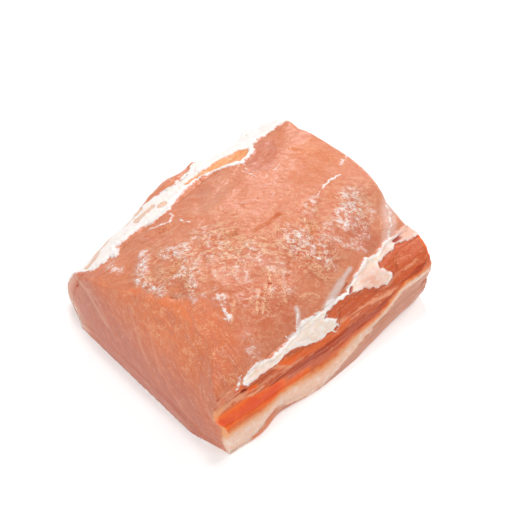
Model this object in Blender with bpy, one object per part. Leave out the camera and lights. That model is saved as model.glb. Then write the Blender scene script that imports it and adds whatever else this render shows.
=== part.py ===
"""Raw boneless pork loin: one block of the round eye muscle, cut off at both ends.

X runs across the block, Y along the grain from the near cut (-Y) to the far cut (+Y), Z is up.
A fat cap covers the -X side. Along the +X side lie four layers, from the top down: the white seam
fat, the dark side muscle, the cream side fat and the lean strip under it. Three thin slivers of
lean lie in and on the fat cap. Every piece is a cube of small squares, bent between shared curves.
"""

import math

import bmesh
import bpy
from mathutils import Vector, noise

NAME = "pork_loin"

# The cuts at the two ends, in metres
NEAR_Y = -0.0650
NEAR_BULGE = 0.0050
NEAR_TOE = 0.0060
NEAR_TOE_UNDERCUT = 0.0010
NEAR_LEAN = 0.0190
NEAR_LEAN_HEIGHT = 0.0400
NEAR_LEAN_POWER = 1.8
NEAR_UPRIGHT_FROM_X = 0.0300
NEAR_UPRIGHT_TO_X = 0.0570
NEAR_UPRIGHT_SHARE = 0.90
FAR_Y = 0.0655
FAR_BULGE = 0.0020
FAR_LEAN = 0.0015
HALF_WIDTH = 0.0590
CORNER_START_X = -0.0500
CORNER_DEPTH = 0.0020
CORNER_WIDTH = 0.0110
FULL_HEIGHT = 0.0570
# The crown comes down to the near cut in a round shoulder
SHOULDER_DROP = 0.0045
SHOULDER_REACH = 0.13
# The outer curves turn in a little where they meet the board
FOOT_HEIGHT = 0.0050
FOOT_UNDERCUT = 0.0010

# Profiles along the block: (share of the length from the near cut, value in metres or a share)
SEAM_X = ((0.0, 0.0505), (0.30, 0.0500), (0.60, 0.0485), (0.74, 0.0450), (0.87, 0.0428), (1.0, 0.0405))
SEAM_Z = ((0.0, 0.0345), (0.12, 0.0365), (0.40, 0.0385), (0.60, 0.0370), (0.80, 0.0380), (1.0, 0.0365))
RIGHT_BASE_X = (
    (0.0, 0.0590), (0.14, 0.0612), (0.24, 0.0588), (0.40, 0.0604),
    (0.53, 0.0619), (0.75, 0.0604), (0.90, 0.0594), (1.0, 0.0576),
)
FLANK_BULGE = ((0.0, 0.0012), (0.30, 0.0020), (0.60, 0.0040), (0.80, 0.0080), (1.0, 0.0110))
FLANK_DEPTH = ((0.0, 0.0018), (0.15, 0.0034), (0.50, 0.0065), (1.0, 0.0110))
CAP_X = ((0.0, -0.0500), (0.06, -0.0460), (0.15, -0.0440), (0.35, -0.0430), (0.70, -0.0435), (1.0, -0.0405))
CAP_Z = ((0.0, 0.0265), (0.08, 0.0310), (0.20, 0.0365), (0.35, 0.0410), (0.55, 0.0445), (1.0, 0.0490))
LEFT_BASE_X = ((0.0, -0.0580), (0.35, -0.0590), (0.75, -0.0585), (1.0, -0.0560))
CAP_BULGE = ((0.0, 0.0045), (0.20, 0.0085), (0.45, 0.0110), (0.70, 0.0100), (1.0, 0.0095))
CAP_DEPTH = 0.0060
CROWN_RISE = ((0.0, 0.0190), (0.10, 0.0210), (0.30, 0.0185), (0.60, 0.0165), (1.0, 0.0128))
CROWN_SKEW = ((0.0, 1.50), (0.40, 1.30), (0.75, 1.05), (1.0, 0.80))
CROWN_POWER = ((0.0, 0.60), (0.60, 0.65), (1.0, 0.95))

# Borders between the side layers: share of the way from the seam down to the base
SEAM_SPLIT = 0.085
SEAM_SWELL = 0.075
SEAM_SWELL_AT = 0.22
SEAM_SWELL_REACH = 0.20
# Flaps of the seam fat: where the tip hangs, how gently it comes down, how soon it ends, how far down
FLAPS = ((0.530, 0.260, 0.045, 0.27), (0.845, 0.220, 0.045, 0.27))
MUSCLE_SPLIT = ((0.0, 0.42), (0.15, 0.50), (0.36, 0.60), (0.50, 0.67), (0.72, 0.70), (0.88, 0.66), (1.0, 0.66))
UNDER_SPLIT = (
    (0.0, 0.975), (0.09, 0.965), (0.14, 0.84), (0.24, 0.83), (0.42, 0.92),
    (0.53, 0.93), (0.63, 0.82), (0.80, 0.76), (1.0, 0.745),
)

# How far the middle of each side layer stands out
PUFF = {"seam_fat": 0.0007, "side_muscle": 0.0009, "side_fat": 0.0005, "under_lean": 0.0006}
SEAM_RIM = 0.0011
CAP_RIM = 0.0030
GAP = 0.0004
CUT_RELIEF = 0.0008
CUT_RELIEF_SIZE = 0.0240
TOP_RELIEF = 0.0009
TOP_RELIEF_SIZE = 0.0180
FLANK_RELIEF = 0.0007
FLANK_RELIEF_SIZE = 0.0130
# Dents and swellings of the top: x, y, half length, half width, turn from Y in degrees, height
TOP_FORMS = {
    "slit": (0.0067, 0.0085, 0.0120, 0.0045, 0.0, -0.0014),
    "groove": (-0.0023, -0.0108, 0.0100, 0.0045, 58.0, -0.0011),
    "smooth_lobe": (-0.0325, 0.0440, 0.0150, 0.0100, 10.0, -0.0017),
    "pit": (0.0307, -0.0142, 0.0055, 0.0055, 0.0, -0.0012),
    "far_crease": (0.0067, 0.0500, 0.0120, 0.0045, -6.0, -0.0011),
    "swirl": (-0.0220, -0.0350, 0.0120, 0.0090, 30.0, 0.0013),
    "swell": (0.0180, 0.0300, 0.0200, 0.0110, 0.0, 0.0010),
    "near_fold": (0.0060, -0.0330, 0.0150, 0.0050, 75.0, -0.0010),
}

# How many squares each piece has: along the block, across it or into its depth, and up it
ALONG = 34
EYE_ACROSS = 26
EYE_UP = 9
LAYER_DEPTH = 2
CAP_DOWN = 11
END_CROWDING = 1.15

INNER_SLIVER = {"stations": (20, 29), "widest": 0.085, "thinnest": 0.012}
OUTER_SLIVERS = {
    "outer_lean_mid": {"stations": (12, 24), "from": 0.12, "to": 0.40, "thick": 0.0036},
    "outer_lean_far": {"stations": (28, 34), "from": 0.10, "to": 0.27, "thick": 0.0024},
}
SLIVER_EDGE = 0.0005
SLIVER_TIP = 0.15

COLOURS = {
    "eye_lean": (0.76, 0.33, 0.22),
    "white_fat": (0.90, 0.78, 0.70),
    "dark_lean": (0.54, 0.12, 0.06),
    "cream_fat": (0.82, 0.52, 0.38),
    "under_lean": (0.62, 0.27, 0.18),
    "sliver_lean": (0.80, 0.42, 0.27),
}
MEAT_ROUGHNESS = 0.35


def along(profile, s):
    """Reads a profile at share s of the length, with smooth runs between its points."""
    if s <= profile[0][0]:
        return profile[0][1]
    for (s0, v0), (s1, v1) in zip(profile, profile[1:]):
        if s <= s1:
            k = (s - s0) / (s1 - s0)
            return v0 + (v1 - v0) * (0.5 * k + 0.5 * k * k * (3.0 - 2.0 * k))
    return profile[-1][1]


def smooth(start, end, value):
    """0 before start, 1 after end and a soft step between."""
    k = min(1.0, max(0.0, (value - start) / (end - start)))
    return k * k * (3.0 - 2.0 * k)


def hump(centre, reach, value):
    """A rounded hump: 1 at its centre and 0 from its reach on."""
    k = min(1.0, abs(value - centre) / reach)
    return (1.0 - k * k) ** 2


def lens(k):
    """A lens outline over 0 to 1: 1 in the middle, 0 at both tips."""
    return math.sqrt(max(0.0, 1.0 - (2.0 * k - 1.0) ** 2))


def mix(a, b, k):
    return a + (b - a) * k


def relief(x, y, z, size):
    """Soft lumps of the meat, between about -1 and 1."""
    return noise.noise(Vector((x, y, z)) / size)


def station(v):
    """Share of the length of a row of squares; the rows crowd towards the near cut."""
    return v ** END_CROWDING


def near_y(x, z):
    """The near cut: bulging, with a small undercut at its toe, and leaning back towards its top."""
    y = NEAR_Y - NEAR_BULGE * (1.0 - min(1.0, abs(x / HALF_WIDTH)) ** 3.5)
    y += CUT_RELIEF * relief(x, NEAR_Y, z, CUT_RELIEF_SIZE)
    y += CORNER_DEPTH * max(0.0, (CORNER_START_X - x) / CORNER_WIDTH) ** 2
    if z < NEAR_TOE:
        return y + NEAR_TOE_UNDERCUT * (1.0 - z / NEAR_TOE) ** 2
    upright = NEAR_UPRIGHT_SHARE * smooth(NEAR_UPRIGHT_FROM_X, NEAR_UPRIGHT_TO_X, x)
    return y + NEAR_LEAN * (1.0 - upright) * ((z - NEAR_TOE) / NEAR_LEAN_HEIGHT) ** NEAR_LEAN_POWER


def far_y(x, z):
    """The far cut: nearly upright, with a rounded corner at the fat cap."""
    y = FAR_Y + FAR_BULGE * (1.0 - min(1.0, abs(x / HALF_WIDTH)) ** 2.5)
    y += CUT_RELIEF * relief(x, FAR_Y, z, CUT_RELIEF_SIZE)
    y -= CORNER_DEPTH * max(0.0, (CORNER_START_X - x) / CORNER_WIDTH) ** 2
    return y - FAR_LEAN * (z / FULL_HEIGHT) ** 2


def footed(point, side):
    """Turns a point of an outer curve in where it nears the board; side is 1 at +X and -1 at -X."""
    turn = max(0.0, 1.0 - point.y / FOOT_HEIGHT) ** 2
    return point - Vector((side * FOOT_UNDERCUT * turn, 0.0))


def flank_out(a, s):
    """Outer curve of the layered side, from the seam (a = 0) round the shoulder to the base (a = 1)."""
    top = Vector((along(SEAM_X, s) + SEAM_RIM, along(SEAM_Z, s) - 0.4 * SEAM_RIM))
    base = Vector((along(RIGHT_BASE_X, s), 0.0))
    chord = base - top
    out = Vector((-chord.y, chord.x)).normalized()
    bow = along(FLANK_BULGE, s) * math.sin(math.pi * a ** 0.85) ** 0.8
    lumps = FLANK_RELIEF * relief(a * 0.04, s * 0.13, 0.5, FLANK_RELIEF_SIZE) * math.sin(math.pi * a)
    return footed(top + chord * a + out * (bow + lumps), 1.0)


def flank_in(a, s):
    """Curve between the eye and the layers of the side."""
    foot = along(RIGHT_BASE_X, s) - along(FLANK_DEPTH, s)
    return Vector((mix(along(SEAM_X, s), foot, a ** 1.1), along(SEAM_Z, s) * (1.0 - a)))


def cap_out(b, s):
    """Outer curve of the fat cap, from its top border (b = 0) over the shoulder to the base (b = 1)."""
    top = Vector((along(CAP_X, s) - CAP_RIM, along(CAP_Z, s) - 0.3 * CAP_RIM))
    base = Vector((along(LEFT_BASE_X, s), 0.0))
    chord = base - top
    out = Vector((chord.y, -chord.x)).normalized()
    bow = along(CAP_BULGE, s) * math.sin(math.pi * b ** 0.8) ** 0.85
    lumps = FLANK_RELIEF * relief(b * 0.05, s * 0.13, 3.5, FLANK_RELIEF_SIZE) * math.sin(math.pi * b)
    return footed(top + chord * b + out * (bow + lumps), -1.0)


def cap_in(b, s):
    """Curve between the fat cap and the eye."""
    foot = along(LEFT_BASE_X, s) + CAP_DEPTH
    return Vector((mix(along(CAP_X, s), foot, b), along(CAP_Z, s) * (1.0 - b)))


def sliver_border(s):
    """Share of the cap's curve that the inner sliver takes at s, or 0 beyond its tips."""
    first, last = (station(n / ALONG) for n in INNER_SLIVER["stations"])
    if not first - 1e-6 <= s <= last + 1e-6:
        return 0.0
    k = (s - first) / (last - first)
    return mix(INNER_SLIVER["thinnest"], INNER_SLIVER["widest"], lens(min(1.0, max(0.0, k))))


def eye_wall(b, s):
    """Left wall of the eye: the cap's inner curve."""
    return cap_in(b, s) + Vector((GAP / 2.0, 0.0))


def top_forms(x, y):
    """Height that the named dents and swellings add at a place of the top."""
    height = 0.0
    for centre_x, centre_y, half_length, half_width, turn, rise in TOP_FORMS.values():
        cos, sin = math.cos(math.radians(turn)), math.sin(math.radians(turn))
        over_x, over_y = x - centre_x, y - centre_y
        length_share = (over_x * sin + over_y * cos) / half_length
        width_share = (over_x * cos - over_y * sin) / half_width
        height += rise * hump(0.0, 1.0, math.hypot(length_share, width_share))
    return height


def crown(t, s):
    """Top of the eye, from the fat cap's border (t = 0) to the seam (t = 1)."""
    left = eye_wall(0.0, s)
    right = flank_in(0.0, s) - Vector((GAP / 2.0, 0.0))
    line = left + (right - left) * t
    arch = math.sin(math.pi * min(1.0, t ** along(CROWN_SKEW, s)))
    arch = max(0.0, arch) ** along(CROWN_POWER, s)
    shoulder = SHOULDER_DROP * max(0.0, 1.0 - s / SHOULDER_REACH) ** 2
    y = mix(NEAR_Y, FAR_Y, s)
    lumps = TOP_RELIEF * relief(line.x, y, 0.0, TOP_RELIEF_SIZE) + top_forms(line.x, y)
    rise = arch * (along(CROWN_RISE, s) - shoulder) + lumps * math.sin(math.pi * t)
    return line + Vector((0.0, rise))


def seam_split(s):
    """Lower border of the seam fat, with its two flaps hanging over the muscle."""
    flaps = sum(
        drop * hump(tip, before if s < tip else after, s)
        for tip, before, after, drop in FLAPS
    )
    return SEAM_SPLIT + SEAM_SWELL * hump(SEAM_SWELL_AT, SEAM_SWELL_REACH, s) + flaps


def eye_section(t, h, s):
    """A point of the eye's cross-section, blended from its two walls, its top and its flat base."""
    left = eye_wall(1.0 - h, s)
    right = flank_in(1.0 - h, s) - Vector((GAP / 2.0, 0.0))
    top = crown(t, s)
    base_left = eye_wall(1.0, s)
    base_right = flank_in(1.0, s) - Vector((GAP / 2.0, 0.0))
    base = base_left + (base_right - base_left) * t
    walls = left + (right - left) * t
    flat_top = eye_wall(0.0, s) + (crown(1.0, s) - eye_wall(0.0, s)) * t
    flat = base + (flat_top - base) * h
    return walls + (base + (top - base) * h) - flat


def layer_section(start, end, gap_above, gap_below, puff):
    """A side layer between two borders, given as shares from the seam to the base.

    Its outside stands out by puff in the middle, so that the layers meet in shallow grooves."""
    def section(d, h, s):
        length = along(SEAM_Z, s)
        first = start(s) + gap_above * GAP / 2.0 / length
        last = end(s) - gap_below * GAP / 2.0 / length
        a = mix(last, first, h)
        inner = flank_in(a, s) + Vector((GAP / 2.0, 0.0))
        outer = flank_out(a, s) + Vector((puff * math.sin(math.pi * h), 0.0))
        return inner + (outer - inner) * d
    return section


def cap_section(d, h, s):
    """The fat cap, from its outer curve (d = 0) to its inner one; the inner sliver takes its top."""
    border = sliver_border(s)
    first = border + (GAP / along(CAP_Z, s) if border else 0.0)
    b = mix(1.0, first, h)
    inner = cap_in(b, s) - Vector((GAP / 2.0, 0.0))
    return cap_out(b, s).lerp(inner, d)


def inner_sliver_section(d, h, s):
    """The sliver between the eye and the top of the fat cap, tapering down along the eye."""
    b = mix(sliver_border(s), 0.0, h)
    inner = cap_in(b, s) - Vector((GAP / 2.0, 0.0))
    return cap_out(b, s).lerp(inner, d)


def outer_sliver_section(shape):
    """A flat lens of lean on the outside of the fat cap."""
    first, last = (station(n / ALONG) for n in shape["stations"])

    def section(d, h, s):
        along_share = (s - first) / (last - first)
        taper = math.sin(math.pi * min(1.0, max(0.0, along_share)))
        half = 0.5 * (shape["to"] - shape["from"]) * mix(SLIVER_TIP, 1.0, taper)
        middle = 0.5 * (shape["to"] + shape["from"])
        b = middle + half * (1.0 - 2.0 * h)
        here = cap_out(b, s)
        run = cap_out(b + 0.01, s) - cap_out(b - 0.01, s)
        out = Vector((run.y, -run.x)).normalized()
        thick = SLIVER_EDGE + shape["thick"] * taper ** 0.7 * lens(h)
        return here + out * mix(GAP + thick, GAP, d)
    return section


def unit_block(across, rows, up):
    """A cube from 0 to 1 whose faces are cut into small squares."""
    mesh = bmesh.new()
    bmesh.ops.create_cube(mesh, size=1.0)
    bmesh.ops.translate(mesh, vec=(0.5, 0.5, 0.5), verts=mesh.verts)
    for axis, count in enumerate((across, rows, up)):
        rungs = [
            edge for edge in mesh.edges
            if abs(edge.verts[0].co[axis] - edge.verts[1].co[axis]) > 0.5
        ]
        if count > 1:
            bmesh.ops.subdivide_edges(mesh, edges=rungs, cuts=count - 1, use_grid_fill=True)
    return mesh


def add_piece(collection, name, material, counts, section, stations=(0, ALONG)):
    """Bends a cube of squares into a piece: section gives x and z, the cuts give y."""
    mesh = unit_block(counts[0], stations[1] - stations[0], counts[1])
    for vert in mesh.verts:
        d, v, h = vert.co
        s = station(mix(stations[0], stations[1], v) / ALONG)
        x, z = section(d, h, s)
        z = max(0.0, z)
        vert.co = (x, mix(near_y(x, z), far_y(x, z), s), z)
    bmesh.ops.triangulate(mesh, faces=mesh.faces, quad_method="SHORT_EDGE")
    bmesh.ops.recalc_face_normals(mesh, faces=mesh.faces)
    data = bpy.data.meshes.new(name)
    mesh.to_mesh(data)
    mesh.free()
    data.shade_smooth()
    piece = bpy.data.objects.new(name, data)
    data.materials.append(material)
    collection.objects.link(piece)
    return piece


def make_material(name, colour):
    material = bpy.data.materials.new(name)
    material.use_nodes = True
    shader = material.node_tree.nodes["Principled BSDF"]
    shader.inputs["Base Color"].default_value = (*colour, 1.0)
    shader.inputs["Roughness"].default_value = MEAT_ROUGHNESS
    shader.inputs["Metallic"].default_value = 0.0
    return material


def centre(pieces):
    """Moves the mesh points so that the middle of the block's base is the origin."""
    corners = [vert.co for piece in pieces for vert in piece.data.vertices]
    middle_x = 0.5 * (min(c.x for c in corners) + max(c.x for c in corners))
    middle_y = 0.5 * (min(c.y for c in corners) + max(c.y for c in corners))
    for piece in pieces:
        for vert in piece.data.vertices:
            vert.co -= Vector((middle_x, middle_y, 0.0))


def main():
    for old in list(bpy.data.objects):
        bpy.data.objects.remove(old, do_unlink=True)
    collection = bpy.data.collections.new(NAME)
    bpy.context.scene.collection.children.link(collection)
    materials = {name: make_material(name, colour) for name, colour in COLOURS.items()}

    def muscle_split(s):
        return along(MUSCLE_SPLIT, s)

    def under_split(s):
        return along(UNDER_SPLIT, s)

    seam = layer_section(lambda s: 0.0, seam_split, 0, 1, PUFF["seam_fat"])
    muscle = layer_section(seam_split, muscle_split, 1, 1, PUFF["side_muscle"])
    side_fat = layer_section(muscle_split, under_split, 1, 1, PUFF["side_fat"])
    under = layer_section(under_split, lambda s: 1.0, 1, 0, PUFF["under_lean"])
    lean, white = materials["eye_lean"], materials["white_fat"]
    pieces = [
        add_piece(collection, "loin_eye", lean, (EYE_ACROSS, EYE_UP), eye_section),
        add_piece(collection, "seam_fat", white, (LAYER_DEPTH, 4), seam),
        add_piece(collection, "side_muscle", materials["dark_lean"], (LAYER_DEPTH, 6), muscle),
        add_piece(collection, "side_fat", materials["cream_fat"], (LAYER_DEPTH, 4), side_fat),
        add_piece(collection, "under_lean", materials["under_lean"], (LAYER_DEPTH, 3), under),
        add_piece(collection, "fat_cap", white, (LAYER_DEPTH, CAP_DOWN), cap_section),
        add_piece(
            collection, "inner_lean", materials["sliver_lean"], (2, 3),
            inner_sliver_section, INNER_SLIVER["stations"],
        ),
    ]
    for name, shape in OUTER_SLIVERS.items():
        pieces.append(add_piece(
            collection, name, materials["sliver_lean"], (2, 6),
            outer_sliver_section(shape), shape["stations"],
        ))
    centre(pieces)


main()
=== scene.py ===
"""Dresses the raw pork loin block: wet lean, ragged white fat and layered side, in a bright studio.

Places are in millimetres in the block's own frame while a piece is shaped, and metres in its mesh.
"""

import math

import bmesh
import bpy
import numpy as np
from bpy.props import FloatProperty, FloatVectorProperty, PointerProperty
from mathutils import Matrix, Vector, noise
from mathutils.bvhtree import BVHTree


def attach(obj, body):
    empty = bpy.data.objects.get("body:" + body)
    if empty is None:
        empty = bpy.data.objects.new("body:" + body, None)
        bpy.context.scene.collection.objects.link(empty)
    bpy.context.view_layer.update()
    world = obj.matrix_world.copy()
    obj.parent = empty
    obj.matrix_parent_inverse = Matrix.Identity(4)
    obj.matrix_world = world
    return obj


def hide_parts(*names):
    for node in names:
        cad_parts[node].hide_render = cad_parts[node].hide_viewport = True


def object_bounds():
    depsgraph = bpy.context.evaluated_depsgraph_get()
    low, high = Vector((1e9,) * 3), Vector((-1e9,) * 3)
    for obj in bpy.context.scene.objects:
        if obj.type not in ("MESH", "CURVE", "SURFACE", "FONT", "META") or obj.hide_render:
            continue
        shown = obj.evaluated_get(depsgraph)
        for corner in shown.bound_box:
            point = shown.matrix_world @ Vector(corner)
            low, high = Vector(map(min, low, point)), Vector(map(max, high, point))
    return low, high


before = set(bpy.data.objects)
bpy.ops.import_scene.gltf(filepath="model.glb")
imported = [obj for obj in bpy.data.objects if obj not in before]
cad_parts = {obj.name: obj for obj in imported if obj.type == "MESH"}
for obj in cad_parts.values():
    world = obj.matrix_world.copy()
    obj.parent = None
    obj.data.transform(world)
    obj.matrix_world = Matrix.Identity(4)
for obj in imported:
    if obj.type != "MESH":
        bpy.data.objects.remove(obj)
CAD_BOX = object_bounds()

bl_info = {
    "name": "Pork loin block",
    "version": (1, 0, 0),
    "blender": (4, 5, 0),
    "location": "3D View > Sidebar > Pork loin",
    "description": "Dresses the loin block with meat, fat and films, and sets it in a studio",
    "category": "Object",
}

MM = 0.001

# In metres: how near doubles merge, how far off its face a ray starts, how near two pieces' walls
# touch, and how far a neighbour is searched for
WELD = 1e-6
RAY_START = 1e-5
TOUCHING = 0.0012
SEARCH = 0.03

# In millimetres: how far a rim may move to meet its neighbour's, anywhere and at the thin near left,
# the cap's rim round the near cut, the depth that counts as deep in a tissue, where the sides and
# the layered flank begin across the block, and a distance past all others
CLOSE_WITHIN = 1.2
CLOSE_WITHIN_END = 3.0
RIM_THICKNESS = 0.9
DEEP_INSIDE = 6.0
SIDES_FROM = 24.0
FLANK_FROM = 38.0
FAR_AWAY = 99.0

ROUNDING_TURNS = 14
# Degrees by which the curls of the skin turn about the block, and the rays of the cut lean
CURL_TURN = 46.0
RAY_TILT = 32.6
# Share of each axis in a step at 45 degrees
DIAGONAL = 0.7071

WHITE_NODES = ("seam_fat", "fat_cap")
BESIDE_WHITE = ("loin_eye", "side_muscle", "side_fat", "inner_lean", "outer_lean_mid", "outer_lean_far")

# Cuts across each square: on what shows, and on the base. Walls hidden between pieces stay whole.
CUTS = {
    "loin_eye": (7, 3),
    "seam_fat": (8, 1),
    "side_muscle": (7, 1),
    "side_fat": (7, 1),
    "under_lean": (7, 1),
    "fat_cap": (6, 1),
    "inner_lean": (6, 1),
    "outer_lean_mid": (5, 1),
    "outer_lean_far": (5, 1),
}

# Outlines on the layered side: (y, z - x), which runs from the base up over the seam to the top
SEAM_FAT = (
    (-49.4, -19.2), (-48.8, -16.6), (-46.6, -14.6), (-43, -13.4), (-38.6, -12.6), (-31.8, -15),
    (-25.7, -14.8), (-18.7, -13.1), (-12.6, -10.4), (-10.2, -8.8), (-3.4, -11.5), (3.5, -12.5),
    (7.5, -10.9), (13.3, -12.6), (17.6, -12.9), (26.1, -9), (33.2, -6.8), (36.9, -3.8), (42.2, -6.8),
    (49.4, -5.2), (54.5, -4), (57.2, -4.6), (60.5, -4.4), (64.5, -3), (69, -4), (69, -11), (64, -12),
    (59.5, -10.8), (54.9, -9.9), (53.7, -11.2), (47.5, -11.4), (41.3, -12.5), (40.2, -15.1), (42.5, -18.3),
    (44.5, -22.5), (44.3, -25.5), (39.5, -26.6), (34.5, -24.4), (27.1, -18.9), (21.4, -16.4), (16.7, -14.9),
    (8.1, -14.7), (2.9, -15.4), (0.6, -17.4), (4, -20.2), (6.8, -23.2), (4.8, -26.9), (1.5, -27.8),
    (-3, -28.1), (-6.4, -28.2), (-11.2, -25.6), (-17.3, -21.8), (-23, -19.6), (-27.5, -20.8),
    (-30.3, -21.9), (-36.3, -20.5), (-42.6, -21), (-47.4, -20.4),
)
MUSCLE_EDGE = (
    (-66, -24.2), (-60, -21.8), (-57, -19.8), (-50, -18), (-38, -17), (-32, -17.5), (-24, -15.5),
    (-12, -14), (17, -13.9), (26, -13), (40, -11), (50, -9), (66, -7.5),
)
CREAM_TOP = (
    (-70, -42.6), (-63.9, -42.8), (-58.9, -43.4), (-51.2, -44.4), (-44.5, -45), (-38.1, -45.6),
    (-32.3, -45), (-26, -45.4), (-20.2, -46.4), (-14.2, -47.4), (-7.3, -48.4), (0.9, -48), (7.1, -47.2),
    (14.2, -46), (21, -45.4), (27.8, -44.8), (34.1, -42.6), (39.3, -39.8), (45.5, -37.2), (52.3, -36.2),
    (59.6, -36), (70, -35),
)
CREAM_FOOT = (
    (-70, -66), (-57, -63.5), (-53.2, -60), (-50.5, -57.9), (-44.4, -55.5), (-41.4, -53.4), (-36.2, -52.8),
    (-30.9, -54.4), (-25.9, -57), (-18.3, -59.1), (-9, -60), (-1, -59), (6.4, -55.4), (13.6, -52.6),
    (22.8, -50.9), (27.9, -49.4), (33.2, -47.3), (37.3, -45), (39.9, -43.2), (44.7, -40.8), (50.2, -39.9),
    (55.9, -39.4), (70, -38.8),
)
DARK_BAND = (
    (-50, -30), (-42, -31), (-30.5, -32.5), (-21.8, -34.2), (-13.6, -36), (4.1, -37), (17, -38.3),
    (27.5, -38.6), (36, -37.8), (42.3, -36.6), (50, -34.2), (60, -31),
)
# Brighter orange runs on the side muscle: line of (y, z - x), half width, strength
FLAMES = (
    (((-66, -33.5), (-57.4, -33.9), (-50, -34.4), (-41.7, -36.5), (-34, -39.5)), 6.8, 1),
    (((-42, -38.5), (-30, -42), (-16, -43.5)), 3.4, 0.75),
    (((-16, -43.5), (-2, -45), (12.1, -44), (23, -43), (34, -40.5)), 2.2, 0.25),
    (((-28.6, -24.8), (-25, -26), (-21.7, -28)), 3, 0.6),
    (((-26, -26.5), (-17.2, -28), (-7.1, -31), (3.2, -32.5), (11.8, -30.5)), 3, 0.45),
    (((-48.5, -24.7), (-46.8, -24.9), (-44.2, -25.6)), 1.3, 0.9),
    (((67, -13), (66.6, -20), (66.6, -30)), 1.8, 0.9),
)
# Pale lines that lie along the seam and the side: line of (y, z - x), half width, strength
SIDE_LINES = (
    (((55.2, -4.6), (59.3, 0.8), (63.8, 7.6), (66.6, 13.4), (68, 17)), 0.7, 0.7),
    (((-20.5, -9), (-20.2, -12), (-19.7, -15)), 0.35, 0.8),
    (((-9.2, -0.4), (-11, -4.5), (-13.4, -9.5), (-15, -12.6)), 0.45, 0.9),
    (((3.2, -26.6), (5.9, -26.2), (7.4, -29.6), (5.6, -31.6), (3.1, -30.2), (2.6, -27.4)), 0.6, 1),
    (((-48, -13.2), (-50.2, -15), (-52.4, -18.4)), 1.1, 0.75),
    (((-52.5, -18.2), (-55.6, -19.9), (-58.4, -21.6)), 0.5, 0.45),
)
# Warm pale rim of the layered side at the near cut: line of (y, z - x), half width, strength
NEAR_RIM = (
    (((-62.2, -22.8), (-65.2, -27), (-66.2, -31.5), (-65.4, -38.7)), 1, 0.8),
)
# Pale orange strands between the muscle's reds: line of (y, z - x), half width, strength
STRANDS = (
    (((-44, -27), (-30, -28.5), (-16, -31.5)), 0.8, 0.6),
    (((8, -27), (14.6, -30.1), (26.8, -29.8), (35.9, -32.8), (45, -35)), 1.2, 0.95),
    (((30, -27.5), (42, -28), (58, -25)), 0.8, 0.6),
    (((2, -33), (14, -34.5), (26, -36)), 0.6, 0.4),
    (((-64, -24.6), (-56.6, -22.8), (-52.8, -24.1), (-48, -26.9), (-42, -29.4)), 1.7, 1),
    (((-36.5, -20.9), (-33, -22.4), (-28.4, -26.4), (-23.7, -30.9)), 0.8, 0.9),
)
# Grey films on the seam, and painted shade in the creases of its fat (the last four thin lines): line of
# (y, z - x), half width, strength
FILMS = (
    (((-12.8, -12), (-11.5, -8), (-10.2, -3.2), (-9.6, 0.2)), 1.1, 0.8),
    (((7.3, -12), (10.5, -10.4), (15.1, -8.2), (18.3, -6.2)), 2.3, 0.9),
    (((18.3, -6.2), (21.3, -5), (24.3, -4), (27, -3.4)), 1.3, 0.9),
    (((55.2, -4.6), (59.3, 0.8), (63.8, 7.6), (66.6, 13.4), (68, 17)), 2.6, 0.5),
    (((3, -12.4), (8, -10.6), (13, -10)), 1, 0.7),
    (((-22.4, -12.5), (-17.4, -12.9), (-13, -13.9), (-5.6, -15), (3.4, -17.3)), 0.35, 1),
    (((-16.7, -17.9), (-12.9, -19.3), (-8.7, -20.3)), 0.3, 0.6),
    (((26.4, -11.6), (32, -13.4), (37, -14.6)), 0.35, 0.8),
    (((46, -8), (52, -7.6), (56, -7.4)), 0.35, 0.7),
)
# Rosy parts of the seam fat: (y, z - x), reach, strength
ROSY_PATCHES = (
    (62, -7, 10, 1), (50, -9.5, 7, 0.6), (33, -18, 14, 1), (-40, -18, 9, 0.3), (-65, -23.5, 6, 1),
)
# Slits and holes of the seam, which are painted dark as shade: line of (y, z - x), half width, depth, how
# dark
SIDE_SLITS = (
    (((-50.9, -22.4), (-49.2, -23.2)), 1, 1.3, 1),
    (((56.6, -7.9), (58.8, -7.6)), 1.3, 1.2, 1),
    (((19.5, -15), (21.7, -13.2)), 1, 1, 1),
    (((21.2, -9.8), (17.2, -11.6), (13, -12.9)), 0.9, 0.8, 0.8),
    (((4.4, -28.4), (5.4, -29.4)), 0.8, 0.5, 0.8),
)

# Outlines on the fat cap's side: (y, z + x), which runs from the base up over the cap to the top
BAND_EDGE = (
    (-70, -30), (-60.3, -29.9), (-57.2, -20.9), (-54.3, -14.7), (-52.3, -14.3), (-48.6, -12.8),
    (-44.8, -12.6), (-43.6, -7), (-42.2, -4.4), (-40.2, -9), (-38.9, -13.7), (-34.7, -9.8), (-31.3, -9.3),
    (-27.8, -9.4), (-22.2, -5), (-15.9, 0.2), (-10, 2.2), (-6.2, -1.9), (-0.5, -2.7), (5.8, -2.7),
    (14.1, -1.6), (21, 2.2), (24, 6), (26.5, 11.5), (28.8, 17), (30.5, 19.2), (33, 18.6), (37.2, 17),
    (42.9, 12.8), (48.2, 4.4), (52.7, 5.4), (57.4, 7.6), (63.9, 8.9), (70, 12),
)
ORANGE_SLIVER = (
    (6, -6.5), (12, -6.4), (20, -5.2), (29.6, -2.4), (37.6, 1.6), (42, 6.4), (41.6, 9.6), (38, 13.2),
    (35, 15.6), (31.8, 15.4), (28.8, 10.2), (25.5, 4.6), (21.5, 0.6), (15, -2.8), (6, -5.2),
)
# The outer slivers are lean outside this line and filmed white inside it: (y, z + x)
FILM_EDGE = (
    (-20, -19.6), (-10.5, -19.2), (-5.9, -17.2), (-1.8, -15.5), (3.4, -14.1), (8.7, -14.2), (14.1, -15.2),
    (18.4, -16.6), (27, -19.5), (40, -26), (49, -24), (53, -13), (60, -11), (68, -9.5),
)
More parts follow.
